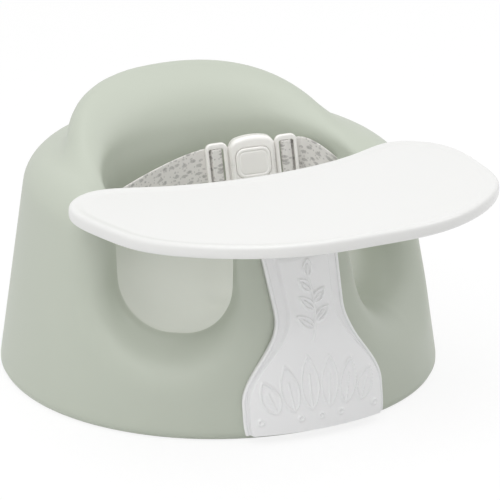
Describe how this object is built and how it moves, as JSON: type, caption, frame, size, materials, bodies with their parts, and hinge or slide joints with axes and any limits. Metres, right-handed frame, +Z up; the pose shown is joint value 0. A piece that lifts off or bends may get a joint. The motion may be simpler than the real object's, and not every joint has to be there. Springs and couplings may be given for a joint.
{
  "type": "baby floor seat",
  "caption": "moulded foam floor seat for a baby, with a rolled backrest, two leg openings, a lift-off play tray on a stem and a buckled harness",
  "frame": {"origin": "the middle of the seat's base, on the floor", "axes": "+Z up, the child faces -Y, +X is to the child's left; the tray stands out along -Y"},
  "size_m": [0.385, 0.4911, 0.2428],
  "materials": {
    "foam": "matt integral-skin foam, warm light grey with a green cast",
    "tray": "smooth white",
    "stem": "satin cool white",
    "buckle": "satin warm white",
    "button": "satin warm white",
    "webbing": "woven light grey",
    "anchor": "moulded, unseen inside the foam",
    "steel": "plain"
  },
  "bodies": {
    "seat": {"seat_body": "foam", "anchor_left": "anchor", "anchor_right": "anchor", "anchor_crotch": "anchor", "strap_left": "webbing", "strap_right": "webbing", "crotch_strap": "webbing", "buckle_front": "buckle", "buckle_back": "buckle", "button_spring": "steel"},
    "tray": {"tray_top": "tray", "tray_stem": "stem", "tray_screws": "steel"},
    "button": {"release_button": "button"},
    "tongue_left": {"tongue_left": "buckle"},
    "tongue_right": {"tongue_right": "buckle"}
  },
  "joints": [
    {"name": "tray_lift", "type": "slide", "parent": "seat", "child": "tray", "axis": [0, 0, 1], "range_m": [0, 0.18]},
    {"name": "button_press", "type": "slide", "parent": "seat", "child": "button", "axis": [0.2835, 0.9489, -0.1387], "range_m": [0, 0.0025], "stiffness_N_per_m": 900, "springref_m": -0.001, "deforming": ["button_spring"]},
    {"name": "tongue_left_pull", "type": "slide", "parent": "seat", "child": "tongue_left", "axis": [-0.9583, 0.2748, -0.0785], "range_m": [0, 0.008], "deforming": ["strap_left"]},
    {"name": "tongue_right_pull", "type": "slide", "parent": "seat", "child": "tongue_right", "axis": [0.9583, -0.2748, 0.0785], "range_m": [0, 0.008], "deforming": ["strap_right"]}
  ]
}
